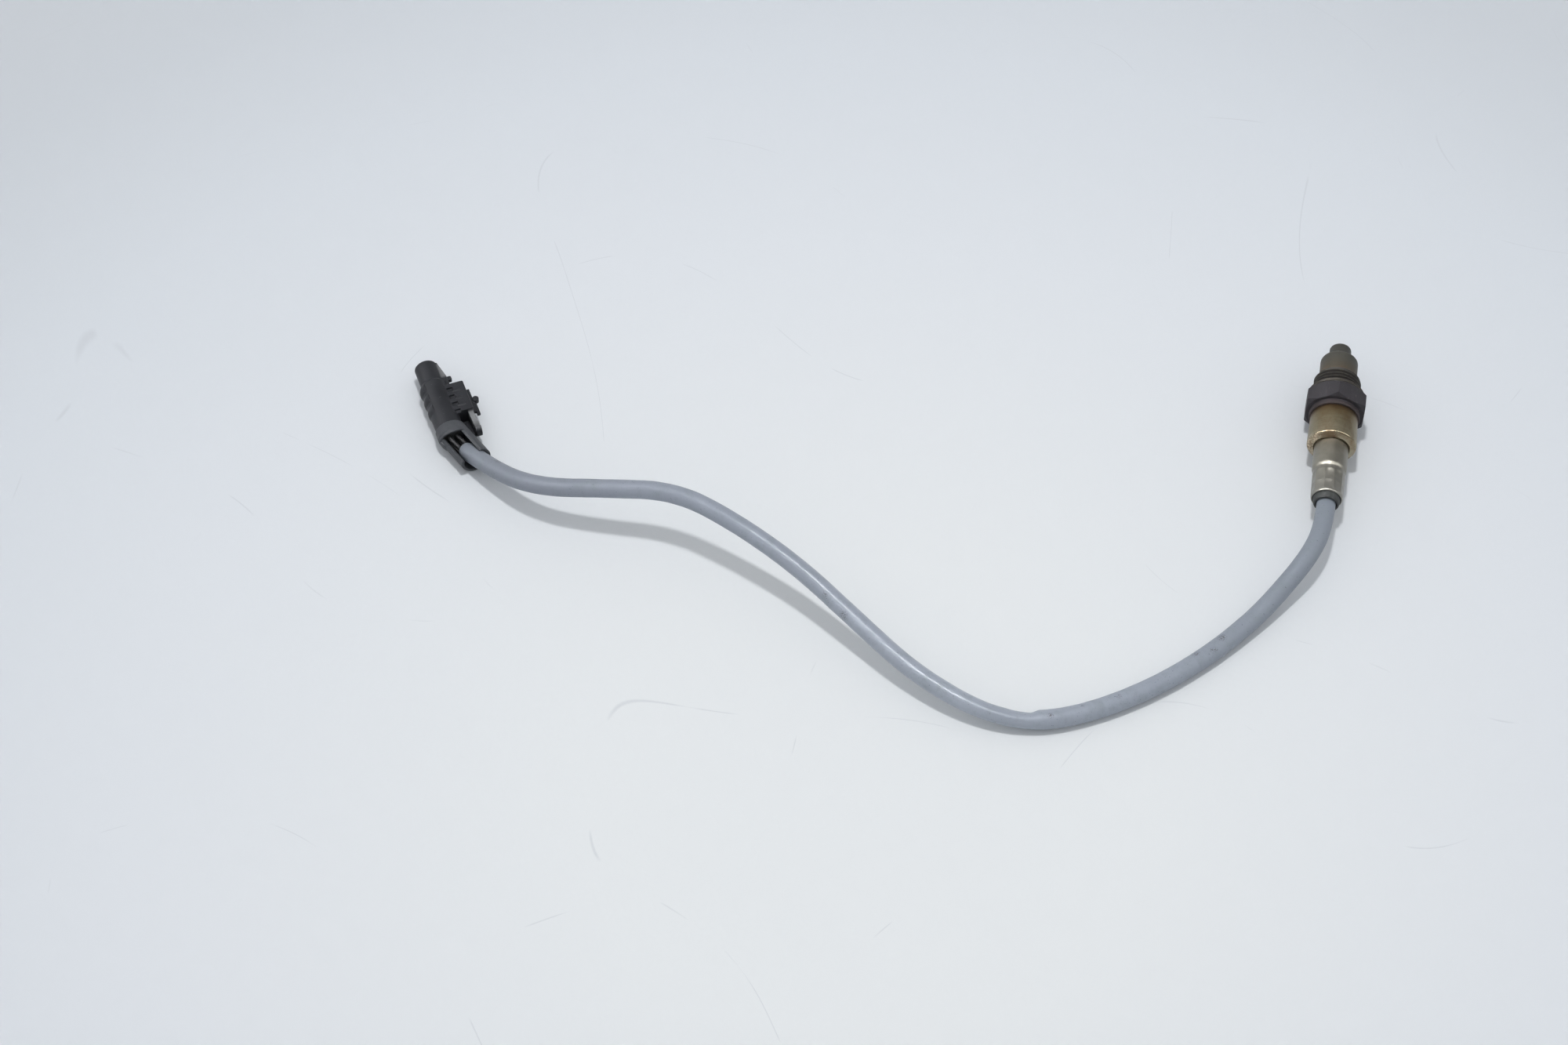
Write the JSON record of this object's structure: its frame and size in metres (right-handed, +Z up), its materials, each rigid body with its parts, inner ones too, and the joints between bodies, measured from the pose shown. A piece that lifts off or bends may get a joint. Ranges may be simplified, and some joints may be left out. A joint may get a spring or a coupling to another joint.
{
  "type": "oxygen sensor",
  "caption": "Heated oxygen sensor with a threaded hexagon body, protected tip and stepped metal shell, and a long sleeved lead ending in a sealed latching plug.",
  "frame": {"origin": "where the sensor's axis meets the gasket's sealing face", "axes": "+Y along the sensor's axis towards its tip, +Z up from the surface the sensor, lead and plug lie on"},
  "size_m": [0.3622, 0.1906, 0.0278],
  "materials": {
    "steel_dark": "heat-darkened, satin",
    "steel_plain": "satin",
    "steel_sooty": "matt, sooty",
    "steel_straw": "brushed, straw heat tint",
    "ceramic_white": "unglazed ceramic",
    "talc_grey": "pressed powder",
    "rubber_black": "matt",
    "sleeve_grey": "satin coated sleeve",
    "wire_insulation": "satin",
    "plastic_black": "moulded, matt",
    "contact_brass": "tin-plated"
  },
  "bodies": {
    "root": {"sensor_housing": "steel_dark", "gasket_ring": "steel_plain", "packing_ring": "steel_plain", "holder_clip": "steel_plain", "disc_spring": "steel_plain", "tail_tube": "steel_plain", "contact_spring_1": "steel_plain", "contact_spring_2": "steel_plain", "contact_spring_3": "steel_plain", "contact_spring_4": "steel_plain", "outer_protection_tube": "steel_sooty", "inner_protection_tube": "steel_sooty", "protective_sleeve": "steel_straw", "sensing_element": "ceramic_white", "front_ceramic_bush": "ceramic_white", "rear_ceramic_bush": "ceramic_white", "contact_holder": "ceramic_white", "talc_packing": "talc_grey", "grommet": "rubber_black", "wire_seal": "rubber_black", "lead_sleeve": "sleeve_grey", "sensor_wire_1": "wire_insulation", "sensor_wire_2": "wire_insulation", "sensor_wire_3": "wire_insulation", "sensor_wire_4": "wire_insulation", "plug_wire_1": "wire_insulation", "plug_wire_2": "wire_insulation", "plug_wire_3": "wire_insulation", "plug_wire_4": "wire_insulation", "plug_housing": "plastic_black", "plug_hood": "plastic_black", "terminal_holder": "plastic_black", "terminal_retainer": "plastic_black", "terminal_1": "contact_brass", "terminal_2": "contact_brass", "terminal_3": "contact_brass", "terminal_4": "contact_brass"}
  },
  "joints": []
}
